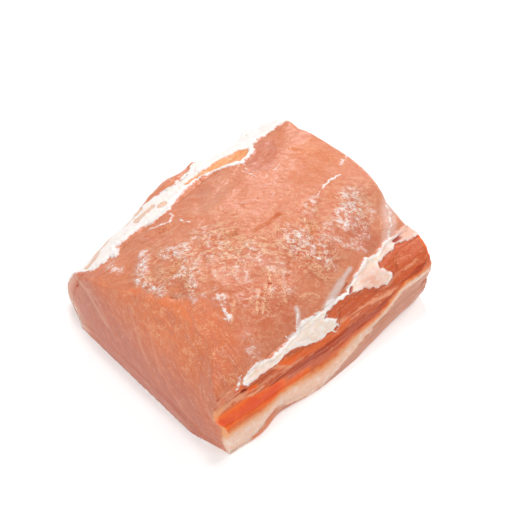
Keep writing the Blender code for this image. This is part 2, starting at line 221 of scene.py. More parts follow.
# Tan lean that shows through the cap: line of (y, z + x), half width, strength
BROWN_ISLANDS = (
    (((-22.7, -14.7), (-18, -13.6), (-13, -12.6)), 1.9, 1),
    (((-10, -7.4), (-8.8, -7)), 1.9, 1),
    (((-54.4, -21.9), (-50.6, -22.3), (-46.7, -23)), 1.6, 1),
    (((-46.1, -27), (-41, -25.7), (-36.6, -26.2)), 1.7, 1),
    (((-27, -22.1), (-21.2, -22.3), (-16, -21.6)), 1.2, 1),
)

# Where the wrinkled top ends and the smooth near cut begins: (x, y)
CUT_EDGE = (
    (-70, -59), (-54, -57), (-46.7, -55.4), (-40.2, -53.9), (-33.4, -57.3), (-27.5, -58.6), (-20, -56),
    (-15.4, -52), (-8.1, -49.8), (-2.2, -48.5), (4.2, -46.7), (10.1, -44.7), (13.6, -41), (17.4, -38.6),
    (21.6, -37.6), (28.7, -37.6), (33.7, -38.5), (39, -40), (44.3, -42.7), (48.5, -46.1), (51.5, -56),
    (54, -70),
)
# Thin white lines on the top: line of (x, y), half width, strength
WHITE_LINES = (
    (((7.6, 57), (7.4, 50.6), (9.1, 43.6)), 0.55, 1),
    (((9.6, 41.5), (11, 37.3), (12.5, 29.1)), 0.45, 0.5),
    (((1.6, 66.6), (2.6, 64), (3.6, 61)), 0.9, 0.5),
    (((-15.6, 39.4), (-15.4, 35.2)), 0.6, 0.6),
    (((-3.7, 24.8), (-2.7, 21.2)), 0.5, 0.5),
    (((-28.4, 26.4), (-22.6, 26.8), (-18.3, 26.4)), 0.5, 0.75),
    (((-18.9, 18.1), (-13.4, 21.1), (-9.3, 27), (-8.9, 31.6)), 0.4, 0.45),
    (((-13.7, 7.8), (-8.4, 11.6), (-5.6, 16.9)), 0.35, 0.4),
    (((-37.7, -11.9), (-34.2, -12.9), (-33.3, -16.2), (-36.5, -20.9), (-40, -24.1)), 0.55, 0.8),
    (((-28.4, -13.6), (-25.7, -13.2), (-22.5, -12.8)), 0.75, 0.7),
    (((28, -36.6), (30.2, -37.2), (32.6, -37.7)), 0.95, 1),
    (((29.9, -40.2), (31.4, -38.8)), 0.5, 0.7),
    (((24.7, -35.2), (26.6, -36.2), (28.6, -36.8)), 0.4, 0.5),
    (((34.2, 14.4), (34.8, 15.4)), 0.7, 0.8),
    (((15.4, -7), (17, -5.8)), 0.6, 0.5),
    (((37.5, -25.6), (40, -24.6), (41.6, -22.3)), 0.3, 0.5),
    (((-31.5, 31), (-28.5, 28.5), (-24, 28.8), (-20.5, 31)), 0.35, 0.55),
)
# Pale lines on the near cut: line of (x, z), half width, strength
CUT_LINES = (
    (((-54, 24.5), (-46.9, 24.8), (-39.6, 25.2), (-33.7, 23.8), (-28, 22), (-21, 19)), 0.7, 0.8),
    (((-39.8, 26.5), (-31.4, 26), (-25, 22.5), (-14, 16)), 0.5, 0.5),
    (((-12.8, 36), (-9.4, 32), (-3.8, 29), (6, 21)), 0.5, 0.5),
    (((-1, 37), (9, 27), (17, 20)), 0.4, 0.4),
    (((-54.5, 21), (-57.4, 13.4), (-53.6, 10.8), (-49.5, 8), (-43.1, 5.2), (-37.2, 4.6)), 2.4, 1),
)
# The pale rim of fat at the left of the near cut: line of (x, z), half width, strength
CORNER_RIM = (
    (((-55, 22), (-58.2, 13.4), (-54.2, 9.9), (-50, 7), (-43.5, 4.2), (-37.5, 3.6)), 0.9, 0.8),
)
# Slits of the top, which are painted dark as shade: line of (x, y), half width, depth, how dark
TOP_SLITS = (
    (((7.3, 1.8), (8.3, 7.3), (8.3, 11.4), (7.3, 17)), 0.9, 1.4, 0.7),
    (((-3.4, -14.4), (-0.6, -11.4), (1.8, -5.9)), 0.95, 1.2, 0.6),
    (((-20.4, 51.6), (-17.4, 53.2), (-13.6, 55)), 0.8, 0.8, 0.45),
    (((31.3, -13.2), (32, -12.2)), 0.5, 1, 1),
    (((0.6, -43.1), (3.4, -41.2)), 0.6, 0.7, 0.5),
    (((2.8, -46.8), (6.2, -45.3)), 0.8, 1, 0.85),
    (((-6, -40), (-1.8, -37.6), (-0.6, -33.4)), 0.8, 0.6, 0.35),
    (((-31.6, -23.6), (-30.2, -19.4)), 1.1, 0.3, 0.45),
    (((33.4, 17.2), (27, 19.4), (21.4, 24.5)), 1.2, 0.5, 0.2),
)
# Where the wet skin sparkles most: line of (x, y), half width, strength
SPARKLES = (
    (((-27.5, -37.2), (-18.9, -44.8), (-14.4, -49.1), (-8.4, -48.7), (-2.5, -46.5)), 2.6, 1),
    (((-14.5, -30.5), (-11.5, -27)), 4.2, 1),
    (((-7.2, -25.9), (-1.3, -32.9), (-1, -36.8), (-2.9, -43.1)), 2, 0.8),
    (((0.6, -27.9), (3.6, -31.8), (8.5, -36.8), (10.4, -39.7)), 2.4, 0.75),
    (((5.6, -47.5), (11.7, -41.5), (19.6, -37.3), (21.6, -33.8), (27.4, -35.7)), 2.4, 0.75),
    (((-38.2, -48.6), (-34, -50), (-30.7, -49.4)), 2.2, 0.7),
    (((19.5, 51.9), (25.4, 48.5), (26.7, 40.2)), 5, 1),
    (((29, 56), (30.3, 49.1), (35, 44)), 3.4, 0.7),
    (((23, 12), (26, 14.5)), 6.5, 0.85),
    (((16.3, 25.3), (13, 31), (11, 36)), 2.4, 0.6),
    (((13.4, -7.5), (19.5, -8), (24, -6), (30, -4)), 4, 0.6),
    (((26.5, 31.6), (33.7, 16.3), (38.4, 18.8)), 3.2, 0.6),
    (((31.3, 30.7), (39.9, 39.2)), 2.6, 0.55),
    (((-10.8, -16.1), (-2, -15.3), (7, -16), (14.3, -16.9), (22, -20.7)), 4.5, 0.5),
    (((2, -22), (10, -24), (18, -28)), 3.5, 0.45),
    (((30, -27.5), (34, -14), (38, -6)), 3, 0.4),
    (((44, -38), (52, -39)), 3, 0.5),
)
# Lines of pale threads that fan out on the top: line of (x, y), half width, strength
FANS = (
    (((31.4, -19.1), (37.9, -26.6)), 0.5, 0.9),
    (((32, -15.5), (39.2, -24.2)), 0.5, 0.9),
    (((26.2, -8.7), (32.3, -12.7), (36, -17)), 0.6, 0.8),
    (((27.5, -6.9), (33.9, -8.7), (41, -12)), 0.6, 0.7),
    (((28.7, -20.8), (34.2, -27.2)), 0.5, 0.5),
    (((28.2, -31), (33.7, -37.4)), 0.6, 0.6),
    (((42.8, -4.9), (44.1, 1.4), (46.4, 4.4)), 0.4, 0.6),
)
# Broad orange, pink, deep salmon and pale tints of the top; the deep patches partly paint the shade of
# broad folds and the pale patches partly paint sheen: (x, y), reach, strength
WARM_PATCHES = (
    (5, -13, 14, 0.45), (-14, 56, 14, 0.55), (0, 60, 12, 0.4), (-5, -36, 7, 0.6), (34, -18, 11, 0.3),
    (-14, 6, 13, 0.15),
)
BLUSH_PATCHES = (
    (-30, 6, 17, 0.7), (-27, 38, 12, 1), (-35, -30, 9, 0.6), (44, -14, 14, 0.8), (34, 22, 14, 0.8),
    (36, 44, 14, 0.9), (18, 56, 10, 0.5),
)
DEEP_PATCHES = (
    (34, -26, 22, 1.3), (41, -12, 12, 0.8), (-32, -22, 6, 0.9), (31, 16, 13, 0.7), (28, 6, 16, 0.8),
    (-27, 42, 10, 0.9), (32, 32, 8, 0.5), (-26, -44, 8, 0.4),
)
PALE_PATCHES = (
    (-6, 22, 14, 0.4), (4, 36, 14, 0.2), (8, 4, 12, 0.4), (-24, 0, 16, 0.9), (-14, -22, 14, 0.6),
    (-30, 14, 14, 0.8), (-8, -43, 9, 0.9), (-13, -41, 10, 0.6), (3, -34, 11, 0.9), (14, -40, 8, 0.7),
)
# Where fine curls cover the skin, with painted gold glints on them: (x, y), reach, strength
CURLY_PATCHES = (
    (4, -12, 30, 1), (30, 12, 28, 0.9), (8, -40, 12, 0.9), (-10, -40, 20, 0.9), (10, 26, 20, 0.5),
    (22, 50, 20, 0.8), (40, -20, 22, 0.35), (-26, -26, 14, 0.5),
)
# The darker lobe at the far left of the top: (x, y)
LOBE = (
    (-33.6, 31), (-37.5, 40), (-40.5, 50), (-34, 54.5), (-25.5, 48), (-18, 38.4), (-16.6, 33), (-23.8, 29),
)

# Small pushes that bring the outline closer to the photo's: middle, reach on each axis, push
PUSHES = (
    ((0, -70, 0), (62, 14, 10), (0, -6, 0)),
    ((12, 68, 47), (30, 14, 15), (1.5, 2.2, 2.2)),
    ((43, 66, 37), (18, 12, 11), (1.8, 2.4, 0.8)),
    ((56, 66, 29), (15, 18, 14), (2.6, 2.2, 1.6)),
    ((-58, 44, 40), (8, 11, 10), (3, 0, -1)),
    ((-56, -62, 10), (10, 10, 14), (-1, -0.5, 0)),
    ((-57, 22, 41), (7, 8, 8), (-1, 0, 2.5)),
    ((-40, 66, 48), (14, 12, 12), (0, 1.5, 3)),
    ((61, 0, 3), (9, 36, 13), (2.4, 0, 0)),
    ((54, -66, 26), (10, 9, 7), (-0.6, -1.8, 0)),
    ((58, -66, 16), (9, 9, 6), (0, 1.4, 0)),
)
# Lamps round the block: name, way to it, distance, size, share of the lamp power
LAMPS = (
    ("top_softbox", (-0.25, 0.23, 0.94), 1, 0.26, 2.4),
    ("left_softbox", (-0.7, 0.44, 0.56), 1, 0.26, 2),
    ("back_softbox", (0.12, 0.62, 0.77), 1, 0.26, 2),
    ("right_softbox", (0.45, 0.25, 0.86), 1, 0.26, 0.9),
    ("near_fill", (0.05, -0.8, 0.6), 1.2, 0.8, 4),
    ("right_fill", (0.68, -0.28, 0.68), 1.2, 0.8, 2.2),
)


def line(points):
    """The points as an array."""
    return np.array(points, dtype=float)


def soft(low, high, value):
    """0 below low, 1 above high and a soft step between."""
    share = np.clip((value - low) / (high - low), 0.0, 1.0)
    return share * share * (3.0 - 2.0 * share)


def blend(first, second, share):
    """The first value at a share of 0, the second at 1."""
    return first + (second - first) * share


def most(*values):
    """The greatest of several values at each place."""
    return np.maximum.reduce(values)


def lumps(places, size, seed=0.0):
    """Soft random lumps, about -1 to 1; size is one lump in millimetres, or one size an axis."""
    scaled = places / np.asarray(size, dtype=float) + seed
    return np.array([noise.noise(spot) for spot in scaled.tolist()]) * 1.6


def stray(places, size, by, seed):
    """The places, each pushed about at random by up to some millimetres."""
    pushes = [lumps(places, size, seed + 7.3 * axis) for axis in range(3)]
    return places + by * np.stack(pushes, axis=1)


def unrolled(places):
    """Where the places lie on the top (x, y), the layered side (y, z - x) and the cap's (y, z + x)."""
    x, y, z = places.T
    return np.stack([x, y], axis=1), np.stack([y, z - x], axis=1), np.stack([y, z + x], axis=1)


def from_line(spots, points):
    """Distance of each spot from a line of points in the same plane."""
    path = line(points)
    nearest = np.full(len(spots), FAR_AWAY)
    for start, run in zip(path[:-1], path[1:] - path[:-1]):
        share = np.clip((spots - start) @ run / (run @ run), 0.0, 1.0)
        gap = spots - start - share[:, None] * run
        nearest = np.minimum(nearest, np.hypot(gap[:, 0], gap[:, 1]))
    return nearest


def inside_by(spots, points):
    """How far each spot lies inside a closed outline; outside it is below zero."""
    path = line(points + (points[0],))
    crossings = np.zeros(len(spots), dtype=int)
    for (x0, y0), (x1, y1) in zip(path[:-1], path[1:]):
        spans = (y0 > spots[:, 1]) != (y1 > spots[:, 1])
        rise = y1 - y0 if y1 != y0 else 1.0
        crossings += spans & (spots[:, 0] < x0 + (spots[:, 1] - y0) / rise * (x1 - x0))
    return from_line(spots, path) * np.where(crossings % 2 == 1, 1.0, -1.0)


def below_by(spots, points):
    """How far each spot lies below a profile that runs along the first axis."""
    path = line(points)
    side = np.sign(np.interp(spots[:, 0], path[:, 0], path[:, 1]) - spots[:, 1])
    return from_line(spots, path) * side


def patches(spots, table):
    """Sum of round soft patches, each (x, y, reach, strength), up to 1."""
    total = np.zeros(len(spots))
    for x, y, reach, strength in table:
        far = np.hypot(spots[:, 0] - x, spots[:, 1] - y) / reach
        total += strength * np.clip(1.0 - far * far, 0.0, 1.0) ** 2
    return np.clip(total, 0.0, 1.0)


def strokes(spots, table, tail=2.0, core=0.4):
    """Strongest of the strokes that reach a spot; tail and core are in half widths."""
    total = np.zeros(len(spots))
    for points, half, strength in table:
        far = from_line(spots, points)
        total = np.maximum(total, strength * soft(half * tail, half * core, far))
    return total


def shaded(slits, least=0.0):
    """The slits that are darker than the least, as strokes."""
    return [(points, half, shade) for points, half, _, shade in slits if shade > least]


def trees():
    """Search trees of the CAD nodes' surfaces."""
    depsgraph = bpy.context.evaluated_depsgraph_get()
    return {name: BVHTree.FromObject(node, depsgraph) for name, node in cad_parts.items()}


TREES = trees()


def gap_to(places, names):
    """Distance in millimetres from each place to the nearest of the named CAD nodes."""
    nearest = np.full(len(places), FAR_AWAY)
    for name in names:
        found = [TREES[name].find_nearest(spot, SEARCH) for spot in (places * MM).tolist()]
        far = np.array([hit[3] / MM if hit[0] is not None else FAR_AWAY for hit in found])
        nearest = np.minimum(nearest, far)
    return nearest


def fine_copy(node):
    """A copy of a CAD node cut into small squares; its faces are 0 if they show, 1 base, 2 hidden."""
    mesh = bmesh.new()
    mesh.from_mesh(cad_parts[node].data)
    bmesh.ops.remove_doubles(mesh, verts=mesh.verts, dist=WELD)
    bmesh.ops.join_triangles(
        mesh, faces=mesh.faces, angle_face_threshold=math.pi, angle_shape_threshold=math.pi,
    )
    kind = mesh.faces.layers.int.new("kind")
    others = [tree for name, tree in TREES.items() if name != node]
    for face in mesh.faces:
        middle = face.calc_center_median()
        start = middle + face.normal * RAY_START
        if middle.z < 0.2 * MM and face.normal.z < -0.9:
            face[kind] = 1
        elif any(tree.ray_cast(start, face.normal, TOUCHING)[0] for tree in others):
            face[kind] = 2
    for number, cuts in reversed(list(enumerate(CUTS[node]))):
        chosen = {edge for face in mesh.faces if face[kind] == number for edge in face.edges}
        if number:
            chosen -= {edge for face in mesh.faces if face[kind] < number for edge in face.edges}
        if chosen:
            bmesh.ops.subdivide_edges(mesh, edges=list(chosen), cuts=cuts, use_grid_fill=True)
    return mesh


def soften(places, edges, rim, held, turns):
    """Rounds the facets of the CAD off; a rim only moves along itself and held places stay."""
    first = np.concatenate([edges[:, 0], edges[:, 1]])
    second = np.concatenate([edges[:, 1], edges[:, 0]])
    counts = (~rim[first] | rim[second]) & ~held[first]
    first, second = first[counts], second[counts]
    links = np.bincount(first, minlength=len(places))
    moving = links > 0
    for _ in range(turns):
        sums = [np.bincount(first, places[second, axis], len(places)) for axis in range(3)]
        middle = np.stack(sums, axis=1)[moving] / links[moving, None]
        places[moving] = blend(places[moving], middle, 0.5)
    return places


def close_gaps(places, rim, node):
    """Brings the rim of a piece up to the rims of its neighbours."""
    others = [tree for name, tree in TREES.items() if name != node]
    for index in np.nonzero(rim)[0]:
        thin_end = places[index][0] < -40.0 and places[index][1] < -50.0
        within = CLOSE_WITHIN_END if thin_end else CLOSE_WITHIN
        hits = [tree.find_nearest(Vector(places[index] * MM), within * MM) for tree in others]
        hits = [hit for hit in hits if hit[0] is not None]
        if hits:
            places[index] = np.array(min(hits, key=lambda hit: hit[3])[0]) / MM
    return places


def outwards(places):
    """The way out of the block at each place, the same for every piece."""
    across, along, up = (places / (63.0, 69.0, 58.0)).T
    way = np.stack([across ** 3, along ** 3 * 1.2, np.abs(up) ** 1.5 * 0.8 + 0.02], axis=1)
    return way / np.linalg.norm(way, axis=1)[:, None]


class Paint:
    """Works out where the tissues lie on one piece, as marks that its materials and relief read."""

    def __init__(self, node, places, normals):
        self.node = node
        self.places = places
        self.x, self.y, self.z = x, y, z = places.T
        self.facing = normals[:, 1]
        frayed = stray(places, 2.6, 0.55, 3.0)
        self.top, self.side, self.cap = unrolled(places)
        self.frayed_top, self.frayed_side, self.frayed_cap = unrolled(frayed)
        self.face = places[:, (0, 2)]

        # Shares of 0 to 1: the top, both sides, the flank of layers, the cut ends, the base, the
        # layers' own borders at ends and base, the cap's rim at the near left, and smooth cuts
        self.high = soft(22.0, 26.0, z)
        self.right = soft(SIDES_FROM, 30.0, x)
        self.left = soft(-SIDES_FROM, -30.0, x)
        self.flank = soft(FLANK_FROM, 42.0, x)
        self.layers = self.flank * (node != "loin_eye")
        self.end = soft(0.52, 0.78, np.abs(self.facing)) * soft(52.0, 58.0, np.abs(y))
        self.end *= np.where(y < 0.0, soft(18.0, 48.0, x), 1.0)
        self.under = soft(-0.5, -0.85, normals[:, 2]) * soft(1.5, 0.4, z)
        self.hidden = most(self.end, self.under)
        self.near_left = soft(-20.0, -24.0, x) * soft(-54.0, -58.0, y) * soft(-0.35, -0.55, self.facing)
        border = unrolled(stray(frayed, 7.0, 2.6, 77.0))[0]
        near = soft(-3.5, 2.0, below_by(border, CUT_EDGE))
        far = soft(60.0, 64.0, y) * soft(0.5, 0.75, self.facing)
        self.cut = np.clip(near + far, 0.0, 1.0)
        self.skin = 1.0 - self.cut

    def by_node(self, own, others):
        """Signed distance to a border, from which node a place is in."""
        if self.node in own:
            return np.minimum(gap_to(self.places, others), DEEP_INSIDE)
        return -np.minimum(gap_to(self.places, own), DEEP_INSIDE)

    def white(self):
        """Millimetres into the white fat; below zero it is lean."""
        seam = inside_by(self.frayed_side, SEAM_FAT)
        band = below_by(self.frayed_cap, BAND_EDGE) * 0.7
        shown = np.where(self.x > 0.0, seam, band)
        shown = np.where(np.abs(self.x) > SIDES_FROM, shown, -DEEP_INSIDE)
        if self.node.startswith("outer_lean"):
            edge = np.interp(self.y, *line(FILM_EDGE).T)
            shown = (self.frayed_cap[:, 1] - edge) * 0.7
        inner = self.by_node(WHITE_NODES, BESIDE_WHITE)
        white = blend(shown, inner, most(self.end * (self.y > 0.0), self.under))
        white = blend(white, self.near_corner_rim(), self.near_left)
        orange = inside_by(self.frayed_cap, ORANGE_SLIVER)
        white = np.where(self.left > 0.5, np.minimum(white, -orange), white)
        return np.clip(white, -DEEP_INSIDE, DEEP_INSIDE)

    def near_corner_rim(self):
        """The fat cap's thin pale rim round the near cut: its thickness less the depth into the cap."""
        rim = np.full(len(self.places), -DEEP_INSIDE)
        for index in np.nonzero(self.near_left > 0.0)[0]:
            spot = self.places[index] * MM
            start = Vector((-0.1, spot[1] + 0.004, spot[2]))
            hit = TREES["fat_cap"].ray_cast(start, Vector((1, 0, 0)))[0]
            if hit is not None:
                rim[index] = RIM_THICKNESS - abs(spot[0] - hit.x) / MM
        return rim

    def streak_and_reflection(self):
        """Strength of the thin white lines that lie on the lean, and of the painted reflection of the floor
        along the base of the near cut.
        """
        near = soft(-46.0, -52.0, self.y) * self.cut
        total = most(
            strokes(self.frayed_top, WHITE_LINES, 1.7) * self.high,
            strokes(self.frayed_side, SIDE_LINES, 1.7) * self.right * (1.0 - self.end),
            strokes(self.face, CORNER_RIM, 1.7) * soft(-52.0, -58.0, self.y),
            # Painted reflection: a pale rim along the base of the near cut
            0.75 * soft(1.5, 0.4, self.z) * near * soft(-0.3, -0.5, self.facing),
        )
        if self.node == "loin_eye":
            layers = gap_to(self.places, ("side_muscle", "side_fat"))
            total = most(total, 0.6 * soft(1.3, 0.6, layers) * near * soft(31.0, 25.0, self.z))
        return total * np.clip(0.6 + 0.55 * lumps(self.places, 1.6, 11.0), 0.55, 1.0)

    def amber(self):
        """Strength of the orange of the sliver in the fat cap, and of the side's rim at the near cut."""
        inside = soft(-0.8, 0.8, inside_by(self.frayed_cap, ORANGE_SLIVER)) * self.left
        tip = soft(2.5, 1.2, np.hypot(self.cap[:, 0] - 22.0, self.cap[:, 1] + 19.8))
        rim = strokes(self.side, NEAR_RIM) * self.right * (self.node != "loin_eye")
        return most(rim, inside, tip * self.node.startswith("outer_lean"))

    def melt(self):
        """Strength of the orange that runs into the cream fat from the muscle."""
        reach = np.interp(self.y, (-60.0, -20.0, 20.0, 45.0), (5.5, 4.5, 3.0, 1.2))
        return soft(1.0, -0.1, below_by(self.side, CREAM_TOP) / reach)

    def cream(self):
        """Millimetres into the cream fat of the layered side."""
        top = below_by(self.frayed_side, CREAM_TOP)
        foot = -below_by(self.frayed_side, CREAM_FOOT)
        on_side = (self.x > FLANK_FROM) & (self.node != "loin_eye")
        shown = np.where(on_side, np.minimum(top, foot), -DEEP_INSIDE)
        inner = self.by_node(("side_fat",), ("side_muscle", "under_lean", "loin_eye"))
        return np.clip(blend(shown, inner, self.hidden), -DEEP_INSIDE, DEEP_INSIDE)

    def brown(self):
        """1 in the strip of lean under the cream fat."""
        shown = soft(-0.6, 0.6, below_by(self.frayed_side, CREAM_FOOT)) * self.layers
        return blend(shown, float(self.node == "under_lean"), self.hidden)

    def dark(self):
        """1 in the dark side muscle, 0 in the pale lean of the eye."""
        border = np.interp(self.y, *line(MUSCLE_EDGE).T)
        shown = soft(border + 1.5, border - 1.5, self.side[:, 1]) * self.layers
        return blend(shown, float(self.node in ("side_muscle", "side_fat")), self.hidden)

    def deep(self):
        """Strength of the maroon band in the side muscle, and of the shade in slits."""
        half = np.interp(self.y, (-45.0, -10.0, 20.0, 55.0), (1.6, 4.0, 5.0, 2.8))
        band = soft(1.0, 0.35, from_line(self.frayed_side, DARK_BAND) / half)
        streaks = 0.7 + 0.6 * lumps(self.places, (2.0, 16.0, 1.1), 4.0)
        return most(
            band * self.layers * soft(-56.0, -30.0, self.y) * np.clip(streaks, 0.5, 1.0),
            strokes(self.side, shaded(SIDE_SLITS), 1.3) * self.right,
            0.8 * strokes(self.top, shaded(TOP_SLITS), 1.3, 0.3) * self.high,
        )

    def pits(self):
        """1 in the small holes, which are painted dark as shade."""
        side = strokes(self.side, shaded(SIDE_SLITS, 0.9), 1.3) * self.right
        return most(side, strokes(self.top, shaded(TOP_SLITS, 0.9), 1.3))

    def warm(self):
        """Strength of the orange tint; on the near cut it is painted light that grows towards the top."""
        # Painted light: the near cut is warmer and brighter towards its top
        rise = soft(12.0, 42.0, self.z + 0.12 * self.x) * soft(-95.0, -45.0, self.x)
        rise = np.where(self.y < 0.0, rise, 0.55 * (1.0 - self.dark()))
        foot = soft(-1.0, 1.0, below_by(self.side, CREAM_FOOT))
        flame = strokes(self.side, FLAMES, 1.5) * (1.0 - foot)
        flame = most(flame, 0.6 * foot * soft(-30.0, -42.0, self.y))
        slits = [(points, half, 0.7) for points, half, _, _ in TOP_SLITS]
        return np.clip(most(
            patches(self.top, WARM_PATCHES) * self.skin * soft(22.0, 30.0, self.z),
            self.cut * rise * (0.85 + 0.25 * lumps(self.places, 14.0, 5.0)),
            self.layers * flame * (1.0 - self.end * (self.y > 0.0)),
            strokes(self.top, slits, 2.4, 0.6) * self.high,
        ), 0.0, 1.0)

    def blush(self):
        """Strength of the pink tint, and of the painted shade on the lower left of the near cut."""
        low = soft(40.0, 12.0, self.z + 0.12 * self.x + 4.0 * lumps(self.places, 16.0, 8.0))
        return most(
            patches(self.top, BLUSH_PATCHES) * self.skin,
            soft(-0.8, 1.2, inside_by(self.frayed_top, LOBE)),
            # Painted shade: the lower left of the near cut is duller and pinker
            self.cut * low * soft(-64.0, -34.0, self.x),
        )

    def edge(self):
        """Strength of the pale rim where the top rolls over into the far cut."""
        return soft(0.1, 0.4, self.facing) * soft(0.85, 0.6, self.facing) * soft(50.0, 58.0, self.y)

    def marks(self):
        """Every mark by name: a share of 0 to 1, or millimetres into a tissue for white and cream."""
        upper = soft(20.0, 26.0, self.z)
        near = soft(-52.0, -57.0, self.y)
        # Painted shade: the right part of the near cut is darker
        beside = soft(12.0, 48.0, self.x) * soft(8.0, 20.0, self.z)
        islands = strokes(self.frayed_cap, BROWN_ISLANDS, 1.5, 0.3)
        return {
            "white": self.white(),
            "streak_and_reflection": self.streak_and_reflection(),
            "film": strokes(self.side, FILMS) * self.right * (1.0 - self.end),
            "cream": self.cream(),
            "brown": self.brown(),
            "dark": self.dark(),
            "deep": self.deep(),
            "pit": self.pits(),
            "tan": islands * self.left * (self.node != "loin_eye"),
            "amber": self.amber(),
            "melt": self.melt(),
            "curly": patches(self.top, CURLY_PATCHES) * self.skin,
            "seam": most(self.right, 0.7 * self.left * soft(28.0, 14.0, self.z)),
            "rosy": patches(self.side, ROSY_PATCHES) * self.right,
            "strand": strokes(self.frayed_side, STRANDS, 1.8) * self.flank,
            "warm": self.warm(),
            "blush": self.blush(),
            # Pale patches of the top, partly painted sheen
            "pale": patches(self.top, PALE_PATCHES) * self.skin,
            # Deep patches of the top, partly painted shade of folds, and painted shade on the right part of
            # the near cut
            "deep_tone_and_shade": patches(self.top, DEEP_PATCHES) * self.skin + beside * self.cut,
            "edge": self.edge(),
            "cut": self.cut,
            "wet": strokes(self.frayed_top, SPARKLES, 1.8) * upper,
            "fan": most(strokes(self.top, FANS, 2.2) * upper, strokes(self.face, CUT_LINES) * near),
        }


def wrinkles(places):
    """Coarse and fine winding ridges of the wet skin, 0 to 1, which run slantwise over the block."""
    x, y, z = stray(stray(places, 11.0, 2.6, 21.0), 4.0, 0.6, 25.0).T
    turned = np.stack([(x + y) * DIAGONAL, (y - x) * DIAGONAL, z], axis=1)
    coarse = 1.0 - np.clip(np.abs(lumps(turned, (14.0, 3.4, 8.0), 31.0)) * 3.0, 0.0, 1.0)
    fine = 1.0 - np.clip(np.abs(lumps(turned, (7.0, 1.5, 4.0), 41.0)) * 2.4, 0.0, 1.0)
    return coarse, fine


def relief(paint, marks, looks):
    """How far each place stands out of the CAD's surface, in millimetres."""
    places = paint.places
    coarse, fine = wrinkles(places)
    white = soft(-0.6, 1.2, marks["white"])
    cream = soft(-0.6, 1.2, marks["cream"])
    lean = (1.0 - white) * (1.0 - cream)
    flank = paint.flank * lean * soft(-10.0, -16.0, paint.side[:, 1])
    top = paint.skin * lean * (1.0 - flank)
    busy = 0.15 + 0.7 * marks["curly"] + 0.5 * marks["wet"] + 0.2 * lumps(places, 12.0, 45.0)
    busy = np.clip(busy, 0.0, 1.0)
    grit = lumps(places, 1.25, 47.0)
    rise = looks.wrinkle_height * (coarse * 0.8 + fine * 0.8 * busy + grit * 0.45 * busy - 0.5) * top
    rise += looks.fold_height * (marks["wet"] + marks["fan"] * 0.5) * top
    rise += looks.lump_height * lumps(places, 8.0, 51.0) * top
    rise += looks.lump_height * 0.5 * lumps(places, 17.0, 61.0) * (1.0 - top)
    grains = lumps(places, 1.7, 71.0) + 0.6 * lumps(places, 0.9, 81.0)
    rise += looks.fat_grain * grains * most(white, 0.6 * cream)
    rim_of_fat = soft(2.2, 0.8, np.abs(marks["white"] - 0.8))
    calm = 1.0 - soft(-20.0, -28.0, paint.x) * soft(-47.0, -54.0, paint.y)
    beside = soft(20.0, 28.0, np.abs(paint.x)) * calm
    rise += looks.fat_rise * (white - 0.5 + 0.35 * rim_of_fat) * beside
    strands = lumps(stray(places, 12.0, 1.0, 91.0), (2.2, 26.0, 1.5), 95.0)
    strands += 0.5 * lumps(places, (1.2, 14.0, 0.8), 99.0)
    rise += looks.strand_height * strands * flank * (1.0 - 0.8 * marks["warm"])
    rise += looks.streak_rise * marks["streak_and_reflection"]
    rise /= MM
    if paint.node == "fat_cap":
        rise += 0.9 * soft(2.2, 0.2, gap_to(places, ("outer_lean_mid", "outer_lean_far")))
    for table, spots, where in (
        (SIDE_SLITS, paint.side, paint.right),
        (TOP_SLITS, paint.top, paint.high),
    ):
        for points, half, depth, _ in table:
            rise -= depth * soft(half * 1.5, 0.0, from_line(spots, points)) * where
    return rise * (soft(0.0, 2.5, paint.z) * 0.9 + 0.1)


def showing_normal(vert, kind):
    """Which way the surface faces at a vertex, from the faces that show alone."""
    total = sum((face.normal * face.calc_area() for face in vert.link_faces if face[kind] == 0), Vector())
    return total.normalized() if total.length > 0.0 else vert.normal


def pushed(places):
    """Moves the places by the small pushes near them."""
    total = np.zeros_like(places)
    for middle, reach, push in PUSHES:
        far = (((places - line(middle)) / line(reach)) ** 2).sum(axis=1)
        total += np.clip(1.0 - far, 0.0, 1.0)[:, None] ** 1.5 * line(push)
    return places + total


def keep_inside(places):
    """Holds the places within the CAD's box."""
    low, high = (np.array(corner) / MM for corner in CAD_BOX)
    return np.clip(places, low, high)


def move(mesh, places):
    """Puts the vertices at the places, which are in millimetres."""
    for vert, spot in zip(mesh.verts, places.tolist()):
        vert.co = Vector(spot) * MM


def dress(node, name, material, looks):
    """Makes the finished piece that stands for one CAD node, and rides it on the block."""
    mesh = fine_copy(node)
    kind = mesh.faces.layers.int["kind"]
    mesh.verts.index_update()
    mesh.verts.ensure_lookup_table()
    places = np.array([vert.co for vert in mesh.verts]) / MM
    edges = np.array([[vert.index for vert in edge.verts] for edge in mesh.edges])
    shows = np.array([any(face[kind] == 0 for face in vert.link_faces) for vert in mesh.verts])
    whole = np.array([all(face[kind] == 0 for face in vert.link_faces) for vert in mesh.verts])
    rim = shows & ~whole
    places = soften(places, edges, rim, ~shows, ROUNDING_TURNS)
    places = close_gaps(places, rim, node)
    move(mesh, places)
    mesh.normal_update()
    paint = Paint(node, places, np.array([showing_normal(vert, kind) for vert in mesh.verts]))
    marks = paint.marks()
    rise = relief(paint, marks, looks) * shows
    move(mesh, keep_inside(pushed(places + outwards(places) * rise[:, None])))
    mesh.faces.layers.int.remove(kind)

    data = bpy.data.meshes.new(name)
    mesh.to_mesh(data)
    mesh.free()
    data.shade_smooth()
    data.materials.append(material)
    for mark, values in marks.items():
        layer = data.attributes.new(mark, "FLOAT", "POINT")
        layer.data.foreach_set("value", values.astype(np.float32))
    piece = bpy.data.objects.new(name, data)
    bpy.context.scene.collection.objects.link(piece)
    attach(piece, "root")
    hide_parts(node)


def joining(operation, swapped=False):
    """A method of Wire that stands for an operator; swapped makes its reflected form."""

    def join(self, other):
        first, second = (other, self) if swapped else (self, other)
        return self.graph.add("ShaderNodeMath", {"operation": operation}, {0: first, 1: second})

    return join


